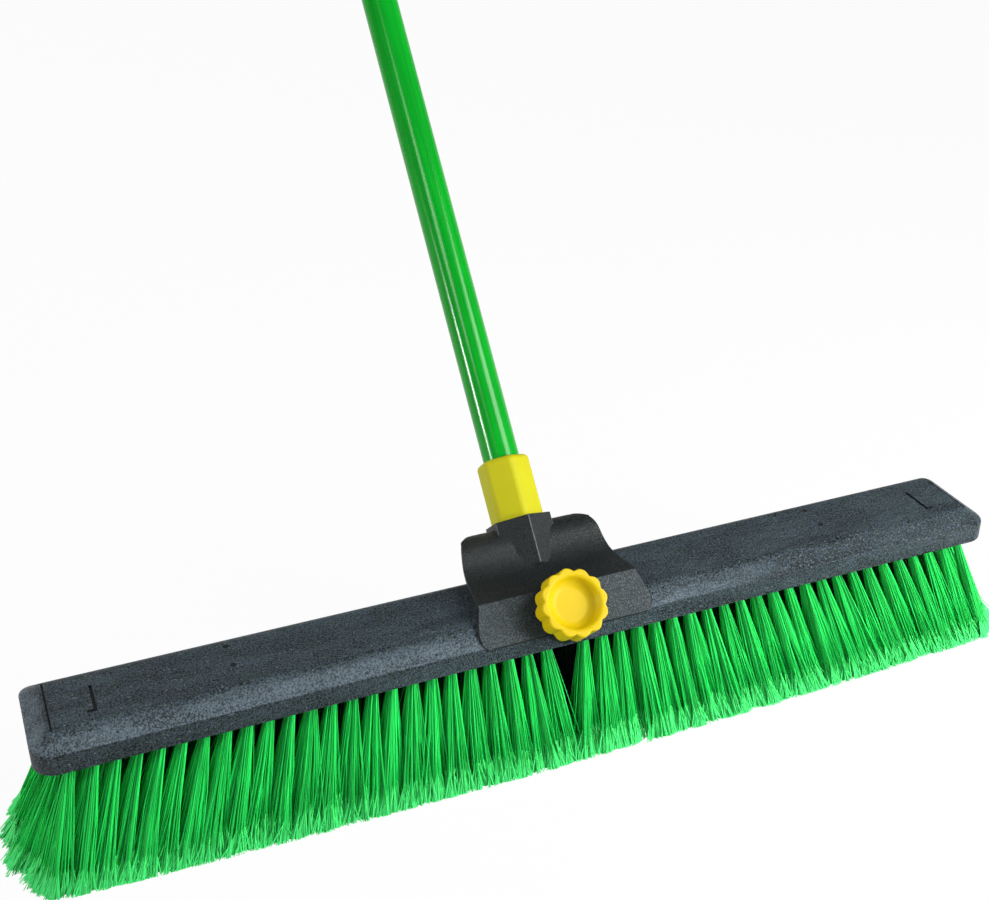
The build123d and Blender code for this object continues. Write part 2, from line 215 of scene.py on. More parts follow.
class KnobSettings(bpy.types.PropertyGroup):
    """The lobed hand knob"""

    lobes: number("Lobes", "Finger lobes round the rim", 12)
    radius: length("Radius", "Over the lobes", 20.6)
    valley: length("Valley", "Between the lobes", 18.7)
    height: length("Height", "From the washer to the rim", 14.0)
    lip: length("Lip", "Width of the lobed lip round the face", 1.2)
    edge: length("Edge", "Radius of the rim's outer edge", 1.1)
    lower_edge: length("Lower edge", "Radius of the edge by the washer", 0.6)
    dish: length("Dish", "Radius of the dish in the face", 16.0)
    dish_depth: length("Dish depth", "Depth of the dish", 6.5)
    dish_floor: length("Dish floor", "Radius of the dish's floor", 12.6)
    dish_edge: length("Dish edge", "Radius of the dish's upper edge", 1.4)
    dish_fillet: length("Dish fillet", "Width of the fillet round the dish's floor", 3.6)
    washer: length("Washer", "Thickness of the washer under it", 1.6)
    plastic: colour("Plastic", "Knob plastic", 200, 174, 4)


class HandleSettings(bpy.types.PropertyGroup):
    """The tube, its ferrule and its cap"""

    tube_radius: length("Tube radius", "Outside of the tube", 11.5)
    tube_wall: length("Tube wall", "Thickness of the tube's wall", 0.8)
    swage: length("Swage", "How far the lower end is drawn in", 0.4)
    ferrule_flats: length("Ferrule flats", "Ferrule across its flats", 30.0)
    ferrule_edge: length("Ferrule edge", "Radius of the ferrule's long edges", 4.0)
    ferrule_shoulder: length("Ferrule shoulder", "Radius of the ferrule's upper edge", 3.4)
    cap_edge: length("Cap edge", "Radius of the cap's edges", 0.8)
    paint: colour("Paint", "Coating of the tube", 4, 154, 34)
    ferrule: colour("Ferrule", "Ferrule plastic", 181, 178, 15)
    cap: colour("Cap", "Cap plastic", 28, 30, 31)


class StageSettings(bpy.types.PropertyGroup):
    """Camera, lamps and floor"""

    lens: FloatProperty(name="Lens", description="Focal length", default=51.18, unit="CAMERA")
    sensor: FloatProperty(name="Sensor", description="Sensor width", default=36.0, unit="CAMERA")
    place: FloatVectorProperty(
        name="Camera place", description="Camera over the middle of the tips", subtype="TRANSLATION",
        default=(-0.29914, -0.63522, 0.56593),
    )
    pitch: camera_angle("Pitch", "Camera's tilt", 61.33)
    turn: camera_angle("Turn", "Camera's turn", -22.63)
    floor_size: length("Floor size", "Width of the floor", 14000.0)
    floor_glow: ratio("Floor glow", "How plain white the floor looks", 0.95)
    floor_mirror: ratio("Floor mirror", "How white it looks in gloss", 0.5)
    sky: ratio("Sky", "Light from all round", 0.24)
    walls: ratio("Walls", "How white the walls look in gloss", 0.4)
    ceiling: ratio("Ceiling", "How much the ceiling shows in gloss", 0.12)


GROUPS = {
    "broom_bristles": BristleSettings,
    "broom_block": BlockSettings,
    "broom_bracket": BracketSettings,
    "broom_knob": KnobSettings,
    "broom_handle": HandleSettings,
    "broom_stage": StageSettings,
}


# Finishes


class Value:
    """A value in a finish. Sums and products of values add their Math nodes."""

    def __init__(self, finish, socket):
        self.finish = finish
        self.socket = socket

    def combine(self, operation, first, second):
        return self.finish.add("Math", {"operation": operation}, {0: first, 1: second})

    def __add__(self, other):
        return self.combine("ADD", self, other)

    def __sub__(self, other):
        return self.combine("SUBTRACT", self, other)

    def __rsub__(self, other):
        return self.combine("SUBTRACT", other, self)

    def __mul__(self, other):
        return self.combine("MULTIPLY", self, other)

    def __abs__(self):
        return self.combine("ABSOLUTE", self, 0)

    def larger(self, other):
        return self.combine("MAXIMUM", self, other)

    __radd__ = __add__
    __rmul__ = __mul__


class Finish:
    """The nodes of a material or of the world, round its shader."""

    SHARE, FIRST, SECOND, RESULT = 0, 6, 7, 2  # sockets of a Mix node that mixes colours

    def __init__(self, owner):
        owner.use_nodes = True
        self.owner = owner
        self.tree = owner.node_tree
        self.surface = self.tree.nodes.get("Principled BSDF") or self.tree.nodes["Background"]

    def add(self, kind, settings=None, sockets=None, output=0):
        """Adds a node of a kind, with its settings, then the values or links of its sockets."""
        node = self.tree.nodes.new("ShaderNode" + kind)
        for name, setting in (settings or {}).items():
            setattr(node, name, setting)
        self.fill(node, sockets or {})
        return Value(self, node.outputs[output])

    def fill(self, node, sockets):
        for name, value in sockets.items():
            if isinstance(value, Value):
                self.tree.links.new(value.socket, node.inputs[name])
            else:
                node.inputs[name].default_value = value

    def shade(self, **sockets):
        """Sets the shader's sockets, with _ for a space in a name."""
        self.fill(self.surface, {name.replace("_", " "): value for name, value in sockets.items()})

    def place(self, scale=(1, 1, 1), turn=(0, 0, 0)):
        """The piece's own coordinates, scaled and turned for a pattern."""
        raw = self.add("TexCoord", output="Object")
        return self.add("Mapping", {}, {"Vector": raw, "Rotation": turn, "Scale": scale})

    def split(self, vector):
        """The three coordinates of a vector."""
        node = self.add("SeparateXYZ", {}, {"Vector": vector}).socket.node
        return [Value(self, output) for output in node.outputs]

    def noise(self, where, size, detail=3.0, roughness=0.5):
        """Soft noise from 0 to 1 with lumps of about this size in metres."""
        sockets = {"Vector": where, "Scale": 1 / size, "Detail": detail, "Roughness": roughness}
        return self.add("TexNoise", {}, sockets, "Fac")

    def pores(self, where, size):
        """Distance to scattered points, for pits of about this size in metres."""
        return self.add("TexVoronoi", {}, {"Vector": where, "Scale": 1 / size}, "Distance")

    def ramp(self, value, low, high):
        """0 below low, 1 above high, smooth between."""
        sockets = {"Value": value, "From Min": low, "From Max": high}
        return self.add("MapRange", {"interpolation_type": "SMOOTHSTEP"}, sockets)

    def mix(self, share, first, second):
        """Colour between two colours."""
        colours = {self.FIRST: first, self.SECOND: second}
        opaque = {k: c if isinstance(c, Value) else (*c, 1.0) for k, c in colours.items()}
        return self.add("Mix", {"data_type": "RGBA"}, {self.SHARE: share, **opaque}, self.RESULT)

    def bump(self, height, strength, depth):
        """Feeds a height from 0 to 1 to the surface, as relief of this depth in metres."""
        sockets = {"Height": height, "Strength": strength, "Distance": depth}
        self.shade(Normal=self.add("Bump", {}, sockets))


def new_finish(name):
    return Finish(bpy.data.materials.new(name))


def scaled(shade, *factors):
    """A colour with its channels scaled, all alike or each by its own factor."""
    red, green, blue = factors if len(factors) == 3 else factors * 3
    return (shade[0] * red, shade[1] * green, shade[2] * blue)


def foam_finish(settings):
    """Structural-foam plastic: a salt-and-pepper skin, pitted, with swirls along the block, painted shade on the
    left upright sides, a painted highlight along the bevel and painted glints.
    """
    finish = new_finish("block_foam_plastic")
    where = finish.place()
    along = finish.place(scale=(0.25, 1, 1))
    grain = finish.noise(where, 1.1 * MM, 3.0, 0.6)
    fine = finish.noise(where, 0.5 * MM, 2.0)
    tint = finish.ramp(finish.noise(where, 2.4 * MM, 2.0), 0.4, 0.6)
    swirl = finish.noise(along, 9 * MM, 5.0, 0.6)
    cloud = finish.noise(along, 60 * MM, 3.0)
    pit = 1 - finish.ramp(finish.pores(where, 7 * MM), 0.06, 0.16)
    speck = finish.ramp(grain * 0.65 + fine * 0.35, 0.44, 0.58)
    glint = finish.ramp(finish.noise(where, 1.5 * MM, 2.0), 0.62, 0.74)
    flow = finish.ramp(swirl * 0.8 + cloud * 0.2, 0.35, 0.65)
    skin = finish.mix(tint, settings.light, settings.cool)
    body = finish.mix(speck * 0.72 + flow * 0.28, settings.dark, skin)
    wall, bevel = painted_light_masks(finish, where, settings)
    # Painted shade on the upright sides.
    body = finish.mix(wall * 0.24, body, settings.dark)
    # Painted highlight along the bevel's outer edge.
    body = finish.mix(bevel * (speck * 0.36 + flow * 0.22 + 0.08), body, settings.painted_highlight)
    # Painted glints all over.
    body = finish.mix(glint * 0.6, body, settings.painted_highlight)
    body = finish.mix(pit * 0.8, body, settings.dark)
    finish.shade(Base_Color=body, Roughness=0.42 - speck * 0.14, Specular_IOR_Level=0.2)
    finish.bump(speck * 0.6 + fine * 0.3 + swirl * 0.4 - pit * 0.8, 1.0, 0.5 * MM)
    return finish.owner


def painted_light_masks(finish, where, settings):
    """Masks of painted light: painted shade on the upright sides, strongest at the left end and gone before the
    middle, and a painted highlight at the bevel's outer edge that fades over the bevel and out towards the right
    end.
    """
    x, y, z = finish.split(where)
    half = BLOCK_SPAN / 2
    begins, full = 1.1 * settings.bevel, 0.3 * settings.bevel
    below, over = 0.3 * MM, 0.5 * MM
    along, across = (
        finish.ramp(abs(place - middle), reach - begins, reach - full)
        for place, middle, reach in ((x, BLOCK_CENTRE.x, half.x), (y, BLOCK_CENTRE.y, half.y))
    )
    shoulder = BLOCK_LOW.z + settings.wall
    above = finish.ramp(z, shoulder - below, shoulder + over)
    faded = finish.ramp(x, BLOCK_CENTRE.x + settings.painted_light_from, BLOCK_CENTRE.x + settings.painted_light_to)
    shaded = 1 - finish.ramp(x, BLOCK_CENTRE.x - settings.painted_light_to, BLOCK_CENTRE.x - settings.painted_light_from)
    return (1 - above) * shaded, above * along.larger(across) * (1 - faded)


def moulded_finish(name, dark, light, roughness, depth, size=0.9 * MM):
    """Spark-textured plastic with a fine even grain."""
    finish = new_finish(name)
    where = finish.place()
    grain = finish.noise(where, size, 2.0, 0.6)
    cloud = finish.noise(where, 25 * MM, 4.0)
    speck = finish.ramp(grain, 0.38, 0.63)
    body = finish.mix(speck * 0.85 + cloud * 0.15, dark, light)
    finish.shade(Base_Color=body, Roughness=roughness + cloud * 0.1 - speck * 0.1, Specular_IOR_Level=0.3)
    finish.bump(speck, 0.8, depth)
    return finish.owner


def satin_finish(name, plastic, roughness):
    """Smooth coloured plastic with faint flow marks."""
    finish = new_finish(name)
    where = finish.place()
    cloud = finish.noise(where, 14 * MM, 3.0)
    grain = finish.noise(where, 0.5 * MM, 2.0)
    warm = scaled(plastic, 0.96, 0.92, 0.8)
    body = finish.mix(finish.ramp(cloud, 0.3, 0.8) * 0.6 + grain * 0.2, plastic, warm)
    finish.shade(Base_Color=body, Roughness=roughness + cloud * 0.08, Specular_IOR_Level=0.18)
    finish.bump(grain * 0.5 + cloud * 0.5, 0.25, 0.06 * MM)
    return finish.owner


def paint_finish(settings):
    """Glossy coating on the tube, with draw lines along it."""
    finish = new_finish("handle_gloss_coating")
    lean = math.atan2(HANDLE_AXIS.y, HANDLE_AXIS.z)
    where = finish.place(turn=(lean, 0, 0))
    lengthwise = finish.add("VectorMath", {"operation": "MULTIPLY"}, {0: where, 1: (1, 1, 0.02)})
    lines = finish.noise(lengthwise, 2.2 * MM, 3.0, 0.6)
    cloud = finish.noise(where, 40 * MM, 3.0)
    streak = finish.ramp(lines * 0.7 + cloud * 0.3, 0.3, 0.7)
    body = finish.mix(streak, scaled(settings.paint, 0.72), settings.paint)
    finish.shade(Base_Color=body, Roughness=0.12 + lines * 0.12, Specular_IOR_Level=0.28)
    finish.bump(lines, 0.2, 0.04 * MM)
    return finish.owner


def bristle_finish(settings):
    """Filaments: painted shade near black at the block and darker on the inner rows, brighter along the strand,
    pale and split at the tip.
    """
    finish = new_finish("bristle_filament")
    tone, along, _ = finish.split(finish.add("UVMap", {"uv_map": STRAND_MAP}))
    lit = finish.ramp(tone, 0.03, 0.1)
    body = finish.mix(tone, settings.deep_colour, settings.body_colour)
    # Painted shade: dark towards the roots, most on the inner rows, and black on the tufts beside the middle gap.
    shaded = 1 - finish.ramp(along * lit + tone * 1.5, 0.3, 0.75)
    body = finish.mix(shaded, body, settings.painted_root_shade)
    pale = finish.ramp(along + tone * 0.05, 0.82, 1.03) * lit
    body = finish.mix(pale, body, settings.tip_colour)
    finish.shade(Base_Color=body, Roughness=0.35 + pale * 0.35, Specular_IOR_Level=0.3)
    return finish.owner


def metal_finish(name, metal, roughness):
    """Bare metal with fine scratches and a dulled skin."""
    finish = new_finish(name)
    where = finish.place(scale=(1, 1, 6))
    scratch = finish.noise(where, 0.6 * MM, 4.0, 0.7)
    body = finish.mix(scratch, scaled(metal, 0.7), metal)
    finish.shade(Base_Color=body, Roughness=roughness + scratch * 0.2, Metallic=1.0)
    finish.bump(scratch, 0.2, 0.04 * MM)
    return finish.owner


# Modelling


def pick(obj):
    """Makes a piece the only selected one, out of edit mode."""
    if bpy.context.object and bpy.context.object.mode != "OBJECT":
        stop()
    bpy.ops.object.select_all(action="DESELECT")
    obj.select_set(True)
    bpy.context.view_layer.objects.active = obj


def start(obj):
    """Makes a piece the only selected one, in edit mode."""
    pick(obj)
    bpy.ops.object.mode_set(mode="EDIT")


def stop():
    bpy.ops.object.mode_set(mode="OBJECT")


def choose(obj, kind, test):
    """Selects the vertices, edges or faces of a piece in edit mode that pass a test."""
    bpy.ops.mesh.select_mode(type=kind)
    bpy.ops.mesh.select_all(action="DESELECT")
    mesh = bmesh.from_edit_mesh(obj.data)
    for part in {"VERT": mesh.verts, "EDGE": mesh.edges, "FACE": mesh.faces}[kind]:
        if test(part):
            part.select_set(True)
    bmesh.update_edit_mesh(obj.data)


def round_edges(obj, test, width, segments, slot=-1):
    """Bevels the edges of a piece in edit mode that pass a test, in a material slot if one is given."""
    choose(obj, "EDGE", test)
    bpy.ops.mesh.bevel(offset=width, segments=segments, affect="EDGES", material=slot)


def slice_at(point, normal):
    """Cuts new edges into the piece in edit mode where a plane passes through it."""
    bpy.ops.mesh.select_all(action="SELECT")
    bpy.ops.mesh.bisect(plane_co=point, plane_no=normal)


def scale_level(factor, height):
    """Scales what is selected about the Z axis, its heights kept."""
    bpy.ops.transform.resize(value=(factor, factor, 1), center_override=(0, 0, height))


def face_outwards():
    bpy.ops.mesh.select_all(action="SELECT")
    bpy.ops.mesh.normals_make_consistent(inside=False)


def settle():
    """Puts the picked piece's place into its mesh."""
    bpy.ops.object.transform_apply(location=True, rotation=True, scale=True)


def add_piece(name, primitive, **options):
    """A primitive to start a piece from."""
    bpy.ops.object.select_all(action="DESELECT")
    primitive(**options)
    obj = bpy.context.object
    obj.name = obj.data.name = name
    settle()
    return obj


def add_box(name, centre, size):
    return add_piece(name, bpy.ops.mesh.primitive_cube_add, size=1, location=centre, scale=size)


def add_round(name, vertices, radius, low, high, ends="NGON"):
    """An upright prism or cylinder on the Z axis."""
    return add_piece(
        name, bpy.ops.mesh.primitive_cylinder_add, vertices=vertices, radius=radius, depth=high - low,
        location=(0, 0, (low + high) / 2), end_fill_type=ends,
    )


def copy_of_node(node, name):
    """A merged copy of a construction node, its flat stretches one face each."""
    obj = bpy.data.objects.new(name, frame["nodes"][node].data.copy())
    bpy.context.scene.collection.objects.link(obj)
    start(obj)
    bpy.ops.mesh.select_all(action="SELECT")
    bpy.ops.mesh.customdata_custom_splitnormals_clear()
    bpy.ops.mesh.remove_doubles(threshold=0.02 * MM)
    bpy.ops.mesh.dissolve_limited(angle_limit=math.radians(0.5))
    stop()
    return obj


def apply_modifier(obj, kind, **settings):
    pick(obj)
    modifier = obj.modifiers.new(kind.lower(), kind)
    for name, setting in settings.items():
        setattr(modifier, name, setting)
    bpy.ops.object.modifier_apply(modifier=modifier.name)


def cut_out(obj, cutter):
    """Takes a cutter out of a piece."""
    apply_modifier(obj, "BOOLEAN", operation="DIFFERENCE", object=cutter, solver="EXACT")
    bpy.data.objects.remove(cutter)


def soften(obj, width, angle, clamp):
    """Rounds every edge that is sharper than an angle."""
    apply_modifier(
        obj, "BEVEL", width=width, segments=3, limit_method="ANGLE",
        angle_limit=math.radians(angle), use_clamp_overlap=clamp,
    )


def smooth(obj, angle=35):
    """Smooth shading up to an angle, with the large faces kept flat."""
    pick(obj)
    bpy.ops.object.shade_smooth_by_angle(angle=math.radians(angle))
    apply_modifier(obj, "WEIGHTED_NORMAL", keep_sharp=True, weight=80)


def put(obj, origin, up):
    """Moves a piece that was modelled upright at the origin to its place, its own Z along up."""
    side = up.cross(RIGHT)
    obj.matrix_world = Matrix.Translation(origin) @ Matrix((RIGHT, side, up)).transposed().to_4x4()
    pick(obj)
    settle()


def dress(obj, finishes, body, node):
    """Gives a piece its finishes and its body, and hides the construction node that it stands for."""
    obj.data.materials.clear()
    for material in finishes:
        obj.data.materials.append(material)
    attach(obj, body)
    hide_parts(node)


def handle_reach(node):
    """Lowest and highest distance of a node's corners from the grip, up the handle."""
    reach = [(vertex.co - GRIP).dot(HANDLE_AXIS) for vertex in frame["nodes"][node].data.vertices]
    return min(reach), max(reach)


def runs_along(edge, axis, least=0.99):
    """Whether an edge runs along an axis."""
    run = edge.verts[0].co - edge.verts[1].co
    return abs(run.dot(axis)) > least * run.length


def level_edge(edge, height, slack=0.05 * MM):
    """Whether an edge lies at a height."""
    return all(abs(vertex.co.z - height) < slack for vertex in edge.verts)


def faces_up(face):
    return face.normal.z > 0.99


# The pieces


class BROOM_OT_block(bpy.types.Operator):
    """Model the brush block, with its bevelled top, rounded corners and moulded marks"""

    bl_idname = "broom.block"
    bl_label = "Brush block"

    MARK_SLOT = 1  # material slot of the moulded marks' shade

    def execute(self, context):
        sizes = context.scene.broom_block
        middle = Vector((BLOCK_CENTRE.x, BLOCK_CENTRE.y, BLOCK_LOW.z + sizes.wall / 2))
        block = add_box("brush_block", middle, (BLOCK_SPAN.x, BLOCK_SPAN.y, sizes.wall))
        start(block)
        corners = {-1: sizes.front_corner, 1: sizes.back_corner}
        for side, corner in corners.items():
            round_edges(block, lambda edge: self.is_corner(edge, side), corner, 12)
        choose(block, "FACE", faces_up)
        rise = BLOCK_SPAN.z - sizes.wall
        bpy.ops.mesh.extrude_region_move(TRANSFORM_OT_translate={"value": (0, 0, rise)})
        self.draw_in_top(block, sizes, corners)
        slope = math.atan2(rise, sizes.bevel)
        rounds = (
            (BLOCK_LOW.z + sizes.wall, sizes.shoulder * math.tan((math.pi / 2 - slope) / 2), 6),
            (BLOCK_HIGH.z, sizes.crown * math.tan(slope / 2), 8),
            (BLOCK_LOW.z, sizes.edge, 3),
        )
        for height, width, segments in rounds:
            round_edges(block, lambda edge: level_edge(edge, height), width, segments)
        stop()
        hollow = moulded_finish("block_mark_shade", sizes.hollow, sizes.dark, 0.6, 0.1 * MM)
        dress(block, [foam_finish(sizes), hollow], "broom", "block")
        for side in (-1, 1):
            self.cut_mark(block, sizes, side)
            self.cut_crease(block, sizes, side)
            for row in (-1, 0, 1):
                self.cut_gate(block, sizes, side, row)
        smooth(block)
        return {"FINISHED"}

    def is_corner(self, edge, side):
        """Whether an edge is an upright corner of the front, -1, or of the back, 1."""
        out = (edge.verts[0].co.y - BLOCK_CENTRE.y) * side
        return runs_along(edge, UP) and out > 0.499 * BLOCK_SPAN.y

    def draw_in_top(self, block, sizes, corners):
        """Brings the outline of the raised top in by the bevel's run, with its own corner radius."""
        half = BLOCK_SPAN / 2
        mesh = bmesh.from_edit_mesh(block.data)
        for vertex in mesh.verts:
            if vertex.co.z > BLOCK_HIGH.z - 0.01 * MM:
                place = vertex.co - BLOCK_CENTRE
                corner = corners[int(math.copysign(1, place.y))]
                for axis in (0, 1):
                    share = (abs(place[axis]) - half[axis] + corner) / corner
                    inner = half[axis] - sizes.bevel - sizes.top_corner
                    out = inner + share * sizes.top_corner
                    vertex.co[axis] = BLOCK_CENTRE[axis] + math.copysign(out, place[axis])
        bmesh.update_edit_mesh(block.data)

    def cut(self, block, cutter):
        """Takes a cutter out of the block, the new faces in the marks' shade."""
        cutter.data.materials.clear()
        for material in block.data.materials:
            cutter.data.materials.append(material)
        cutter.data.polygons.foreach_set("material_index", [self.MARK_SLOT] * len(cutter.data.polygons))
        cut_out(block, cutter)

    def cut_crease(self, block, sizes, side):
        """Fine groove across the top where the end's bevel begins."""
        end = BLOCK_ENDS[side] - side * (sizes.bevel + sizes.crease)
        across = BLOCK_SPAN.y - 2 * sizes.bevel
        size = (sizes.crease, across, 3 * sizes.crease)
        self.cut(block, add_box("crease_cutter", (end, BLOCK_CENTRE.y, BLOCK_HIGH.z), size))

    def cut_gate(self, block, sizes, side, row):
        """Small pit where the plastic was let into the mould."""
        ball = (sizes.gate_radius**2 + sizes.gate_depth**2) / (2 * sizes.gate_depth)
        along = BLOCK_CENTRE.x + side * sizes.gate_place
        across = BLOCK_CENTRE.y + row * sizes.gate_pitch - sizes.gate_forward
        place = (along, across, BLOCK_HIGH.z + ball - sizes.gate_depth)
        sphere = bpy.ops.mesh.primitive_ico_sphere_add
        self.cut(block, add_piece("gate_cutter", sphere, subdivisions=4, radius=ball, location=place))

    def cut_mark(self, block, sizes, side):
        """Groove with a foot that points to the block's end."""
        middle = BLOCK_CENTRE.y - sizes.mark_forward
        stem = Vector((BLOCK_ENDS[side] - side * sizes.mark_inset, middle, BLOCK_HIGH.z))
        cutter = add_box("mark_cutter", stem, (sizes.mark_width, sizes.mark_length, 2 * sizes.mark_depth))
        start(cutter)
        front = stem.y - sizes.mark_length / 2 + sizes.mark_width
        slice_at((0, front, 0), (0, 1, 0))

        def foot_side(face):
            return face.normal.x * side > 0.99 and face.calc_center_median().y < front

        choose(cutter, "FACE", foot_side)
        reach = (side * (sizes.mark_foot - sizes.mark_width / 2), 0, 0)
        bpy.ops.mesh.extrude_region_move(TRANSFORM_OT_translate={"value": reach})
        stop()
        self.cut(block, cutter)


class BROOM_OT_bracket(bpy.types.Operator):
    """Finish the moulded saddle that carries the handle"""

    bl_idname = "broom.bracket"
    bl_label = "Bracket"

    # The slots after the skin carry painted light: a painted highlight on the socket's corners, a painted shadow
    # round the apron and painted light on the apron.
    SKIN, WORN, SEAM, APRON = range(4)  # material slots
    CROWN_STEPS = 8  # cuts along the part of the ends that draws in
    END_SHARE = 0.6  # of the half width, past which an end begins
    ARC_SHARE = 0.93  # of a quarter round that the drawn-in ends follow
    PAST_CROWN = 0.8  # how fast the ends draw in behind the crown
    APRON_LOW, APRON_HIGH = -6 * MM, -2 * MM  # heights of the apron from the washer, along the knob's axis
    FACING, TURNED = 0.98, 0.3  # how far a face on the apron looks along that axis, and one beside it
    SOCKET_RUN, SOCKET_ALONG = 6 * MM, 0.995  # how long the socket's corners are, and how true to the handle

    def execute(self, context):
        sizes = context.scene.broom_bracket
        bracket = copy_of_node("bracket", "saddle_bracket")
        finishes = [
            moulded_finish("bracket_grained_plastic", sizes.dark, sizes.light, 0.46, 0.2 * MM),
            moulded_finish("bracket_edge_highlight", sizes.apron, sizes.painted_highlight, 0.4, 0.1 * MM),
            moulded_finish("bracket_seam_shadow", sizes.seam, sizes.dark, 0.6, 0.1 * MM),
            moulded_finish("bracket_lit_apron", sizes.lit_apron_dark, sizes.apron, 0.42, 0.2 * MM),
        ]
        dress(bracket, finishes, "broom", "bracket")
        start(bracket)
        # Painted highlight along the socket's corners.
        round_edges(bracket, self.socket_corner, sizes.corner, 3, self.WORN)
        self.draw_in_crown(bracket, sizes)
        # Painted shadow round the apron's outline.
        round_edges(bracket, self.apron_outline, sizes.rim, 2, self.SEAM)
        # Painted light on the apron's faces.
        choose(bracket, "FACE", lambda face: face.material_index == self.SKIN and self.on_apron(face))
        bracket.active_material_index = self.APRON
        bpy.ops.object.material_slot_assign()
        stop()
        soften(bracket, sizes.edge, 28, False)
        smooth(bracket, 30)
        return {"FINISHED"}

    def draw_in_crown(self, bracket, sizes):
        """Narrows the ends towards the crown along an arc."""
        far = self.END_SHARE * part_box("bracket")[1].x
        ends = [vertex.co for vertex in bracket.data.vertices if abs(vertex.co.x) > far]
        crown = max(ends, key=lambda point: point.z).y
        for step in range(self.CROWN_STEPS):
            slice_at((0, crown - sizes.crown_run * step / self.CROWN_STEPS, 0), (0, 1, 0))
        mesh = bmesh.from_edit_mesh(bracket.data)
        for vertex in mesh.verts:
            if abs(vertex.co.x) > far:
                behind = vertex.co.y - crown
                share = min(max(behind / sizes.crown_run + 1, 0), self.ARC_SHARE)
                draw = sizes.crown_draw * (1 - math.sqrt(1 - share * share))
                draw += self.PAST_CROWN * max(behind, 0)
                vertex.co.x -= math.copysign(draw, vertex.co.x)
        bmesh.update_edit_mesh(bracket.data)

    def under_knob(self, point):
        """Whether a point is at the height of the sloping apron under the knob."""
        return self.APRON_LOW < (point - WASHER_CENTRE).dot(KNOB_AXIS) < self.APRON_HIGH

    def on_apron(self, face):
        """Whether a face is part of the apron."""
        return face.normal.dot(KNOB_AXIS) > self.FACING and self.under_knob(face.calc_center_median())

    def apron_outline(self, edge):
        """Whether an edge is on the outline of the apron."""
        lean = sorted(face.normal.dot(KNOB_AXIS) for face in edge.link_faces)
        folded = len(lean) == 2 and lean[1] > self.FACING and lean[0] < self.TURNED
        return folded and all(self.under_knob(vertex.co) for vertex in edge.verts)

    def socket_corner(self, edge):
        """Whether an edge is one of the long corners of the hexagonal socket."""
        return edge.calc_length() > self.SOCKET_RUN and runs_along(edge, HANDLE_AXIS, self.SOCKET_ALONG)


class BROOM_OT_ferrule(bpy.types.Operator):
    """Model the hexagonal ferrule on the handle's lower end"""

    bl_idname = "broom.ferrule"
    bl_label = "Ferrule"

    OVERCUT = 20 * MM  # how far the bore's cutter stands out at the top

    def execute(self, context):
        sizes = context.scene.broom_handle
        low, high = handle_reach("ferrule")
        tube_low, _ = handle_reach("handle_tube")
        half_flat = math.radians(30)
        ferrule = add_round("hex_ferrule", 6, sizes.ferrule_flats / 2 / math.cos(half_flat), low, high)
        start(ferrule)
        round_edges(ferrule, lambda edge: level_edge(edge, high), sizes.ferrule_shoulder, 6)
        round_edges(ferrule, self.is_sloping, sizes.ferrule_edge * math.tan(half_flat), 4)
        stop()
        radius = sizes.tube_radius - sizes.swage
        cut_out(ferrule, add_round("ferrule_bore", 64, radius, tube_low, high + self.OVERCUT))
        smooth(ferrule)
        put(ferrule, GRIP, HANDLE_AXIS)
        material = satin_finish("ferrule_plastic", sizes.ferrule, 0.48)
        dress(ferrule, [material], "broom", "ferrule")
        return {"FINISHED"}

    def is_sloping(self, edge):
        """Whether an edge runs up the ferrule or over its shoulder."""
        return abs(edge.verts[0].co.z - edge.verts[1].co.z) >= 0.01 * MM


class BROOM_OT_handle(bpy.types.Operator):
    """Model the coated tube, drawn in at its lower end"""

    bl_idname = "broom.handle"
    bl_label = "Handle tube"

    def execute(self, context):
        sizes = context.scene.broom_handle
        low, high = handle_reach("handle_tube")
        _, ferrule_top = handle_reach("ferrule")
        tube = add_round("coated_tube", 80, sizes.tube_radius, ferrule_top, high, "NOTHING")
        start(tube)
        choose(tube, "EDGE", lambda edge: level_edge(edge, ferrule_top))
        bpy.ops.mesh.extrude_edges_move(TRANSFORM_OT_translate={"value": (0, 0, 0)})
        scale_level((sizes.tube_radius - sizes.swage) / sizes.tube_radius, ferrule_top)
        bpy.ops.mesh.extrude_edges_move(TRANSFORM_OT_translate={"value": (0, 0, low - ferrule_top)})
        face_outwards()
        stop()
        apply_modifier(tube, "SOLIDIFY", thickness=sizes.tube_wall, offset=-1.0)
        smooth(tube, 30)
        put(tube, GRIP, HANDLE_AXIS)
        dress(tube, [paint_finish(sizes)], "broom", "handle_tube")
        return {"FINISHED"}


class BROOM_OT_cap(bpy.types.Operator):
    """Finish the hang-up cap on the handle's upper end"""

    bl_idname = "broom.cap"
    bl_label = "Handle cap"

    def execute(self, context):
        sizes = context.scene.broom_handle
        cap = copy_of_node("handle_cap", "hang_up_cap")
        soften(cap, sizes.cap_edge, 30, True)
        smooth(cap, 30)
        light = scaled(sizes.cap, 1.8)
        material = moulded_finish("cap_grained_plastic", sizes.cap, light, 0.42, 0.08 * MM, 0.8 * MM)
        dress(cap, [material], "broom", "handle_cap")
        return {"FINISHED"}


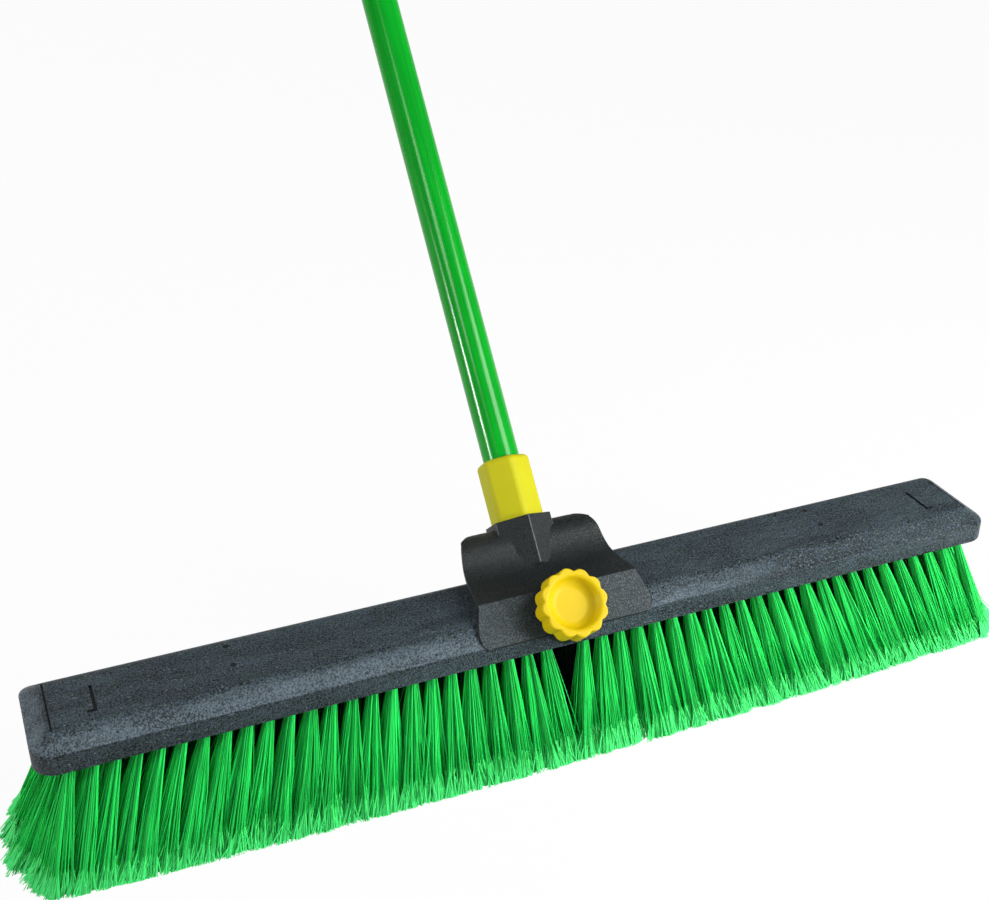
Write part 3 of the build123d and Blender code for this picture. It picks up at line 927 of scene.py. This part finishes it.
class BROOM_OT_knob(bpy.types.Operator):
    """Model the lobed hand knob with the dish in its face"""

    bl_idname = "broom.knob"
    bl_label = "Knob"

    STEPS = 10  # vertices per lobe
    LOBE_POWER = 0.55  # under 1, broad lobes and narrow valleys
    DISH_STEP = 0.2 * MM  # inset that begins the dish's wall
    RIM_CLEAR = 1.5 * MM  # from the dish to where the outer rim may begin

    def execute(self, context):
        sizes = context.scene.broom_knob
        count = sizes.lobes * self.STEPS
        knob = add_round("lobed_knob", count, sizes.radius, 0, sizes.height)
        start(knob)
        for step in range(self.STEPS // 2 + 1):
            self.scale_steps(knob, sizes, step)
        choose(knob, "FACE", faces_up)
        bpy.ops.mesh.inset(thickness=sizes.lip)
        choose(knob, "FACE", lambda face: faces_up(face) and len(face.verts) == count)
        self.make_round(knob, sizes.dish)
        bpy.ops.mesh.inset(thickness=self.DISH_STEP)
        bpy.ops.transform.translate(value=(0, 0, -sizes.dish_depth))
        scale_level(sizes.dish_floor / (sizes.dish - self.DISH_STEP), sizes.height - sizes.dish_depth)
        self.round_rims(knob, sizes)
        smooth(knob, 40)
        put(knob, WASHER_CENTRE + KNOB_AXIS * (sizes.washer / 2), KNOB_AXIS)
        material = satin_finish("knob_plastic", sizes.plastic, 0.42)
        dress(knob, [material], "hand_knob", "knob")
        return {"FINISHED"}

    def scale_steps(self, knob, sizes, step):
        """Draws in the vertices that stand this many steps from a lobe's top, as a wave."""
        turn = math.tau / (sizes.lobes * self.STEPS)

        def at_step(vertex):
            place = round(math.atan2(vertex.co.y, vertex.co.x) / turn) % self.STEPS
            return min(place, self.STEPS - place) == step

        wave = 0.5 + 0.5 * math.cos(math.tau * step / self.STEPS)
        radius = sizes.valley + (sizes.radius - sizes.valley) * wave**self.LOBE_POWER
        choose(knob, "VERT", at_step)
        scale_level(radius / sizes.radius, 0)

    def make_round(self, knob, radius):
        """Brings the corners of the selected face to a circle."""
        mesh = bmesh.from_edit_mesh(knob.data)
        face = next(f for f in mesh.faces if f.select)
        for vertex in face.verts:
            vertex.co.x, vertex.co.y = Vector((vertex.co.x, vertex.co.y)).normalized() * radius
        bmesh.update_edit_mesh(knob.data)

    def round_rims(self, knob, sizes):
        """Rounds the rim's edge, the dish's edges and the edge by the washer."""

        def reaches(edge):
            return [Vector(vertex.co[:2]).length for vertex in edge.verts]

        def by_wall(edge):
            return any(abs(face.normal.z) < 0.1 for face in edge.link_faces)

        def outer_edge(edge):
            far = min(reaches(edge)) > sizes.dish + self.RIM_CLEAR
            return far and level_edge(edge, sizes.height) and len(edge.link_faces) == 2 and by_wall(edge)

        def dish_edge(edge):
            near = all(abs(reach - sizes.dish) < 0.05 * MM for reach in reaches(edge))
            return near and level_edge(edge, sizes.height)

        start(knob)
        round_edges(knob, outer_edge, sizes.edge, 4)
        round_edges(knob, dish_edge, sizes.dish_edge, 5)
        floor = sizes.height - sizes.dish_depth
        round_edges(knob, lambda edge: level_edge(edge, floor), sizes.dish_fillet, 8)
        round_edges(knob, lambda edge: level_edge(edge, 0) and by_wall(edge), sizes.lower_edge, 2)
        stop()


class BROOM_OT_bristles(bpy.types.Operator):
    """Plant the four rows of filament tufts"""

    bl_idname = "broom.bristles"
    bl_label = "Bristles"

    SEED = 40
    SIDES = 3  # of a strand
    SHARES = np.array([0.0, 0.5, 1.0])  # cross-sections along a strand
    SPLIT_SHARES = np.array([0.86, 1.0])  # and along a split end
    END_TUFTS = 3  # tufts of an inner row that are seen at each end, kept free of the painted shade
    GAP_TUFTS = 2  # and that get black painted shade on each side of the middle gap
    LEAN_TUFTS = 3  # tufts over which the lean into the gap dies away
    WISP_ROOT, STRAND_ROOT = 0.75, 0.22  # reach of wisps in a tuft, and of strands round their wisp
    WISP_DRIFT, STRAND_DRIFT = 0.07, 0.06  # how much each strays on the way to the tips
    SQUARE_LEAST, SQUARE_POWER = 0.08, 0.35  # how a round tuft fills a square at the tips
    ROW_FILL = 0.58  # half a tuft's width at the tips, as a share of its row's strip
    SCALLOP = 0.008  # how much the tufts' reach differs
    CORNER_POWER = 8  # how close to the ends the outline's corners draw in
    UNEVEN, LIFT = 0.4 * MM, 0.3 * MM  # how much the trim of strands and of split ends differs
    BOW = 0.7 * MM  # how far strands bend out half way down
    WISP_TONE = 0.35  # share of a strand's tone that it has from its wisp
    END_PULL, END_POWER, SIDE_POWER = 4, 24, 7  # how split ends gather at the outline's ends and sides
    FORK_FROM, FORK_TO = -0.14, 0.16  # how much nearer or further from the tip a split end forks
    WAVES = ((0.9 * MM, 37 * MM, 0.4), (0.7 * MM, 23 * MM, 1.9))  # height, length and start, in the outline
    RAGGED = 0.7 * MM  # how much split ends fall short of the outline
    PULL_FROM, PULL_TO = 0.72, 0.88  # least reach and furthest place along the block of ends drawn out
    PULL_POWER = 0.4  # under 1, most of them nearly all the way
    FLUFF_OUT, FLUFF_UP = 0.75, 0.66  # way that split ends scatter light
    FLUFF_OWN = 0.6  # how much of their own normals stays in it
    END_REACH = 45 * MM  # from the end of the tips to where they turn from the side to the end
    DISC_POWER = 0.42  # under 0.5, denser towards a disc's edge
    MAP_MARGIN = 0.02  # kept free along the edges of the strands' map

    def execute(self, context):
        sizes = context.scene.broom_bristles
        outer = BLOCK_HALF_WIDTH - sizes.row_inset
        half = TIP_REACH / 2
        rows = (
            ("tufts_front", -outer, -TIP_REACH, -half, True),
            ("tufts_mid_front", -outer / 3, -half, 0.0, False),
            ("tufts_mid_back", outer / 3, 0.0, half, False),
            ("tufts_back", outer, half, TIP_REACH, True),
        )
        strand = self.model_strand(len(self.SHARES))
        split_end = self.model_strand(len(self.SPLIT_SHARES))
        radii = np.linspace(sizes.strand_radius, sizes.tip_radius, len(self.SHARES))
        split_radii = np.array([sizes.strand_radius, sizes.split_radius])
        finishes = [bristle_finish(sizes)]
        for order, (node, row, fan_from, fan_to, outside) in enumerate(rows):
            chance = np.random.default_rng(self.SEED + order)
            lines, tones = self.comb_row(sizes, row, fan_from, fan_to, outside, chance)
            tones = self.shade_row(sizes, tones, outside)
            name = node.replace("tufts", "bristles")
            piece = self.plant(strand, name, lines, tones, self.SHARES, radii)
            dress(piece, finishes, "broom", node)
            lines, tones = self.split_tips(sizes, lines, tones, outside, chance)
            name = node.replace("tufts", "split_ends")
            piece = self.plant(split_end, name, lines, tones, self.SPLIT_SHARES, split_radii)
            self.fluff(piece)
            dress(piece, finishes, "broom", node)
        bpy.data.objects.remove(strand)
        bpy.data.objects.remove(split_end)
        return {"FINISHED"}

    def model_strand(self, rings):
        """One upright strand of unit length and radius, open at its root, with this many cross-sections."""
        strand = add_round("strand", self.SIDES, 1, 0, 1, "NOTHING")
        start(strand)
        for ring in range(1, rings - 1):
            slice_at((0, 0, ring / (rings - 1)), UP)
        choose(strand, "EDGE", lambda edge: level_edge(edge, 0, 0.01))
        bpy.ops.mesh.edge_face_add()
        face_outwards()
        stop()
        return strand

    def comb_row(self, sizes, row, fan_from, fan_to, outside, chance):
        """Centre lines of a row's strands, from the root to the tip, and each strand's tone."""
        half = sizes.middle_gap / 2 + sizes.pitch * np.arange(sizes.tufts_per_side)
        tufts = np.concatenate([-half[::-1], half])
        shape = (len(tufts), sizes.wisps, sizes.strands)
        wisps = shape[:2] + (1,)
        root = self.disc(chance, shape[:2])[:, :, None] * self.WISP_ROOT
        root = root + self.disc(chance, shape) * self.STRAND_ROOT
        drift = chance.normal(0, 1, wisps + (2,)) * self.WISP_DRIFT
        fan = root + (drift + chance.normal(0, 1, shape + (2,)) * self.STRAND_DRIFT)
        fill = sizes.gap_fill if outside else sizes.inner_fill
        lean_in = fill * np.exp((sizes.middle_gap / 2 - np.abs(tufts)) / (self.LEAN_TUFTS * sizes.pitch))
        tip_centre = tufts * sizes.spread - np.sign(tufts) * lean_in
        root_x = tufts[:, None, None] + root[..., 0] * sizes.root_radius
        root_y = row + root[..., 1] * sizes.root_radius
        tip_x = tip_centre[:, None, None] + fan[..., 0] * sizes.fan
        squared = fan[..., 1] / np.maximum(1 - fan[..., 0] ** 2, self.SQUARE_LEAST) ** self.SQUARE_POWER
        tip_y = (fan_from + fan_to) / 2 + squared * (fan_to - fan_from) * self.ROW_FILL
        scallop = 1 - np.abs(chance.normal(0, self.SCALLOP, (len(tufts), 1, 1)))
        tip_y = np.clip(tip_y, -TIP_REACH, TIP_REACH) * scallop
        out = np.abs(tip_x) / np.abs(tip_x).max()
        tip_y *= 1 - sizes.end_draw * out**2
        tip_x -= np.sign(tip_x) * sizes.corner_draw * (tip_y / TIP_REACH) ** 2 * out**self.CORNER_POWER
        tip_z = np.abs(chance.normal(0, self.UNEVEN, wisps)) + np.abs(chance.normal(0, self.UNEVEN, shape))
        root_point = np.stack([root_x, root_y, np.full(shape, TRIM)], -1).reshape(-1, 1, 3)
        tip_point = np.stack([tip_x, tip_y, tip_z], -1).reshape(-1, 1, 3)
        root_point += (root_point - tip_point) * (sizes.root_depth / TRIM)
        share = self.SHARES[None, :, None]
        lines = root_point + (tip_point - root_point) * share
        lines[..., :2] += chance.normal(0, self.BOW, (lines.shape[0], 1, 2)) * np.sin(share * math.pi)
        lines[:, 1, 0] -= sizes.gather * sizes.fan * fan[..., 0].ravel()
        tones = chance.uniform(0, 1, wisps) * self.WISP_TONE
        tones = tones + chance.uniform(0, 1, shape) * (1 - self.WISP_TONE)
        return lines + FOOT_POINT, tones.reshape(len(tufts), -1)

    def shade_row(self, sizes, tones, outside):
        """Tones with painted shade on the tufts that stand behind others, black beside the middle gap."""
        lit = np.full((2 * sizes.tufts_per_side, 1), outside)
        lit[: self.END_TUFTS] = lit[-self.END_TUFTS :] = True
        tones = np.where(lit, tones * (1 - sizes.inner_shade) + sizes.inner_shade, tones * sizes.inner_shade)
        if not outside:
            tones[sizes.tufts_per_side - self.GAP_TUFTS : sizes.tufts_per_side + self.GAP_TUFTS] = 0
        return tones.ravel()

    def split_tips(self, sizes, lines, tones, outside, chance):
        """Centre lines and tones of the split ends, most of them where the tips' outline runs."""
        tips = lines[:, -1]
        across = np.abs(tips - FOOT_POINT) / np.abs(lines - FOOT_POINT).max(axis=(0, 1))
        outward = self.END_PULL * across[:, 0] ** self.END_POWER
        outward = outward + (across[:, 1] ** self.SIDE_POWER if outside else 0)
        tufts = 2 * (sizes.tufts_per_side if outside else self.END_TUFTS)
        picked = chance.choice(len(lines), sizes.split_ends * tufts, p=outward / outward.sum())
        fork = (self.SPLIT_SHARES[0] - self.SHARES[-2]) / (1 - self.SHARES[-2])
        fork = fork + chance.uniform(self.FORK_FROM, self.FORK_TO, (len(picked), 1))
        forks = lines[picked, -2] + (tips[picked] - lines[picked, -2]) * fork
        ends = tips[picked]
        reach = np.abs(ends[:, 1] - FOOT.y)
        ends[:, :2] += chance.normal(0, sizes.split_spread, (len(picked), 2))
        ends[:, 1] = FOOT.y + np.clip(ends[:, 1] - FOOT.y, -reach, reach)
        if outside:
            self.fill_outline(sizes, ends, chance)
        ends[:, 2] = FOOT.z + np.abs(chance.normal(0, self.LIFT, len(picked)))
        return np.stack([forks, ends], 1), tones[picked]

    def fill_outline(self, sizes, ends, chance):
        """Draws a row's outer split ends towards the tips' outline, so that it runs on between the tufts."""
        place = ends[:, :2] - FOOT_POINT[:2]
        out = np.abs(place[:, 0]) / np.abs(place[:, 0]).max()
        reach = np.abs(place[:, 1])
        ragged = np.abs(chance.normal(0, self.RAGGED, len(ends)))
        outline = TIP_REACH * (1 - sizes.end_draw * out**2) - ragged
        for height, run, begin in self.WAVES:
            outline -= height * (1 + np.sin(math.tau * place[:, 0] / run + begin))
        drawn = (reach > self.PULL_FROM * outline) * (out < self.PULL_TO)
        pull = chance.uniform(0, 1, len(ends)) ** self.PULL_POWER * drawn
        ends[:, 1] += np.sign(place[:, 1]) * np.maximum(outline - reach, 0) * pull

    def fluff(self, piece):
        """Turns the normals of split ends outwards and up, as their loose fluff scatters light."""
        mesh = piece.data
        normals = np.zeros((len(mesh.vertices), 3), np.float32)
        mesh.vertices.foreach_get("normal", normals.ravel())
        points = np.zeros_like(normals)
        mesh.vertices.foreach_get("co", points.ravel())
        points -= np.array(FOOT, np.float32)
        at_end = np.clip(1 - (np.abs(points[:, 0]).max() - np.abs(points[:, 0])) / self.END_REACH, 0, 1)
        out_x = np.sign(points[:, 0]) * at_end * self.FLUFF_OUT
        out_y = np.sign(points[:, 1]) * (1 - at_end) * self.FLUFF_OUT
        scattered = np.stack([out_x, out_y, np.full(len(points), self.FLUFF_UP)], -1)
        normals = normals * self.FLUFF_OWN + scattered
        mesh.normals_split_custom_set_from_vertices(normals / np.linalg.norm(normals, axis=1)[:, None])

    def disc(self, chance, shape):
        """Points spread over a disc of radius 1, a little denser towards its edge."""
        radius = chance.uniform(0, 1, shape) ** self.DISC_POWER
        turn = chance.uniform(0, math.tau, shape)
        return np.stack([radius * np.cos(turn), radius * np.sin(turn)], -1)

    def plant(self, template, name, lines, tones, shares, radii):
        """One mesh with a copy of the strand along every centre line."""
        mesh = template.data
        corners = np.array([vertex.co for vertex in mesh.vertices])
        ring = np.rint((1 - corners[:, 2]) * (len(shares) - 1)).astype(int)
        points = lines[:, ring]
        points[..., :2] += corners[:, :2] * radii[ring][:, None]
        count = len(lines)
        loops = np.array([loop.vertex_index for loop in mesh.loops])
        starts = np.array([face.loop_start for face in mesh.polygons])
        step = np.arange(count)[:, None]
        made = bpy.data.meshes.new(name)
        made.vertices.add(count * len(corners))
        made.vertices.foreach_set("co", points.astype(np.float32).ravel())
        made.loops.add(count * len(loops))
        made.loops.foreach_set("vertex_index", (loops + step * len(corners)).astype(np.int32).ravel())
        made.polygons.add(count * len(starts))
        made.polygons.foreach_set("loop_start", (starts + step * len(loops)).astype(np.int32).ravel())
        made.update(calc_edges=True)
        made.validate()
        margin = self.MAP_MARGIN
        around = np.arctan2(corners[:, 1], corners[:, 0]) / math.tau
        across = np.clip(tones[:, None] * (1 - 2 * margin) + margin + around[loops] * margin, 0, 1)
        along = np.broadcast_to(shares[ring[loops]], across.shape) * (1 - margin) + margin / 2
        layer = made.uv_layers.new(name=STRAND_MAP)
        layer.uv.foreach_set("vector", np.stack([across, along], -1).astype(np.float32).ravel())
        made.polygons.foreach_set("use_smooth", np.ones(count * len(starts), bool))
        piece = bpy.data.objects.new(name, made)
        bpy.context.scene.collection.objects.link(piece)
        return piece


class BROOM_OT_hardware(bpy.types.Operator):
    """Finish the steel and brass pieces inside the broom"""

    bl_idname = "broom.hardware"
    bl_label = "Hardware"

    STEEL_NODES = ("knob_stud", "knob_washer", "handle_screw", "tuft_staples")

    def execute(self, context):
        steel = metal_finish("zinc_plated_steel", screen(196, 198, 200), 0.3)
        brass = metal_finish("turned_brass", screen(214, 178, 96), 0.25)
        finishes = dict.fromkeys(self.STEEL_NODES, steel)
        finishes["block_insert"] = brass
        for node, material in finishes.items():
            mesh = frame["nodes"][node].data
            mesh.materials.clear()
            mesh.materials.append(material)
        return {"FINISHED"}


class BROOM_OT_stage(bpy.types.Operator):
    """Set the camera, the lamps, the pale floor and the white surroundings"""

    bl_idname = "broom.stage"
    bl_label = "Stage"

    LAMPS = (  # name, place over the middle of the tips, width, height, watts
        ("Right key", (0.75, -0.65, 1.1), 0.6, 0.6, 12.0),
        ("Left key", (-1.9, -1.0, 2.7), 0.8, 0.8, 18.0),
        ("Front fill", (0.85, -0.75, 0.42), 0.6, 0.4, 15.5),
        ("Left side", (-2.6, 0.2, 0.85), 0.2, 0.4, 32.0),
        ("Back fill", (-0.7, 2.4, 1.5), 1.0, 1.0, 9.0),
    )
    AIM = Vector((0, 0, 0.1))  # that the lamps point at, over the middle of the tips
    FLOOR_GREY = (0.7, 0.7, 0.7, 1)
    WHITE = (1, 1, 1, 1)
    WALL_TOP, CEILING_FROM = 0.05, 0.35  # heights in the surroundings where the walls give way to the ceiling

    def execute(self, context):
        settings = context.scene.broom_stage
        self.add_camera(context, settings)
        self.add_lamps(context)
        self.add_floor(settings)
        self.add_sky(context, settings)
        context.scene.view_settings.view_transform = "Standard"
        return {"FINISHED"}

    def add_camera(self, context, settings):
        lens = bpy.data.cameras.new("Camera")
        lens.lens = settings.lens
        lens.sensor_width = settings.sensor
        lens.sensor_fit = "HORIZONTAL"
        camera = bpy.data.objects.new("Camera", lens)
        camera.location = FOOT + Vector(settings.place)
        camera.rotation_euler = (settings.pitch, 0, settings.turn)
        context.scene.collection.objects.link(camera)
        context.scene.camera = camera

    def add_lamps(self, context):
        aim = FOOT + self.AIM
        for name, place, width, height, power in self.LAMPS:
            light = bpy.data.lights.new(name, "AREA")
            light.shape = "RECTANGLE"
            light.size = width
            light.size_y = height
            light.energy = power
            lamp = bpy.data.objects.new(name, light)
            lamp.location = FOOT + Vector(place)
            lamp.rotation_euler = (aim - lamp.location).to_track_quat("-Z", "Y").to_euler()
            context.scene.collection.objects.link(lamp)

    def add_floor(self, settings):
        floor = add_piece("floor", bpy.ops.mesh.primitive_plane_add, size=settings.floor_size, location=FOOT)
        finish = new_finish("pale_floor")
        finish.shade(Base_Color=self.FLOOR_GREY, Roughness=0.9, Specular_IOR_Level=0.1)
        camera, mirrored = ray_kinds(finish)
        glow = camera * settings.floor_glow + mirrored * settings.floor_mirror
        plain = finish.add("Emission", {}, {"Color": self.WHITE, "Strength": 1.0})
        ground = Value(finish, finish.surface.outputs["BSDF"])
        both = finish.add("MixShader", {}, {0: glow, 1: ground, 2: plain})
        finish.fill(finish.tree.nodes["Material Output"], {"Surface": both})
        floor.data.materials.append(finish.owner)

    def add_sky(self, context, settings):
        world = bpy.data.worlds.new("White surroundings")
        context.scene.world = world
        sky = Finish(world)
        height = sky.split(sky.add("TexCoord", output="Generated"))[2]
        upper = sky.ramp(height, self.WALL_TOP, self.CEILING_FROM)
        walls = settings.walls - upper * (settings.walls - settings.ceiling)
        camera, mirrored = ray_kinds(sky)
        lit = mirrored * (walls - settings.sky) + settings.sky
        sky.shade(Color=self.WHITE, Strength=camera * (1 - lit) + lit)


def ray_kinds(finish):
    """1 for what the camera sees itself, and 1 for what it sees in a mirror or through glass."""
    rays = finish.add("LightPath").socket.node
    kinds = ("Is Camera Ray", "Is Glossy Ray", "Is Transmission Ray")
    camera, glossy, through = (Value(finish, rays.outputs[kind]) for kind in kinds)
    return camera, glossy.larger(through)


OPERATORS = (
    BROOM_OT_block,
    BROOM_OT_bracket,
    BROOM_OT_ferrule,
    BROOM_OT_handle,
    BROOM_OT_cap,
    BROOM_OT_knob,
    BROOM_OT_bristles,
    BROOM_OT_hardware,
    BROOM_OT_stage,
)


class BROOM_PT_panel(bpy.types.Panel):
    """Lists the broom's pieces and their settings"""

    bl_idname = "BROOM_PT_panel"
    bl_label = "Wide floor broom"
    bl_space_type = "VIEW_3D"
    bl_region_type = "UI"
    bl_category = "Broom"

    def draw(self, context):
        for operator in OPERATORS:
            self.layout.operator(operator.bl_idname)
        for name, group in GROUPS.items():
            box = self.layout.box()
            box.label(text=group.__doc__)
            for setting in group.__annotations__:
                box.prop(getattr(context.scene, name), setting)


CLASSES = (*GROUPS.values(), *OPERATORS, BROOM_PT_panel)


def register():
    for cls in CLASSES:
        bpy.utils.register_class(cls)
    for name, group in GROUPS.items():
        setattr(bpy.types.Scene, name, PointerProperty(type=group))


def unregister():
    for name in GROUPS:
        delattr(bpy.types.Scene, name)
    for cls in reversed(CLASSES):
        bpy.utils.unregister_class(cls)


def main():
    register()
    bpy.ops.broom.block()
    bpy.ops.broom.bracket()
    bpy.ops.broom.ferrule()
    bpy.ops.broom.handle()
    bpy.ops.broom.cap()
    bpy.ops.broom.knob()
    bpy.ops.broom.bristles()
    bpy.ops.broom.hardware()
    bpy.ops.broom.stage()


if __name__ == "__main__":
    main()
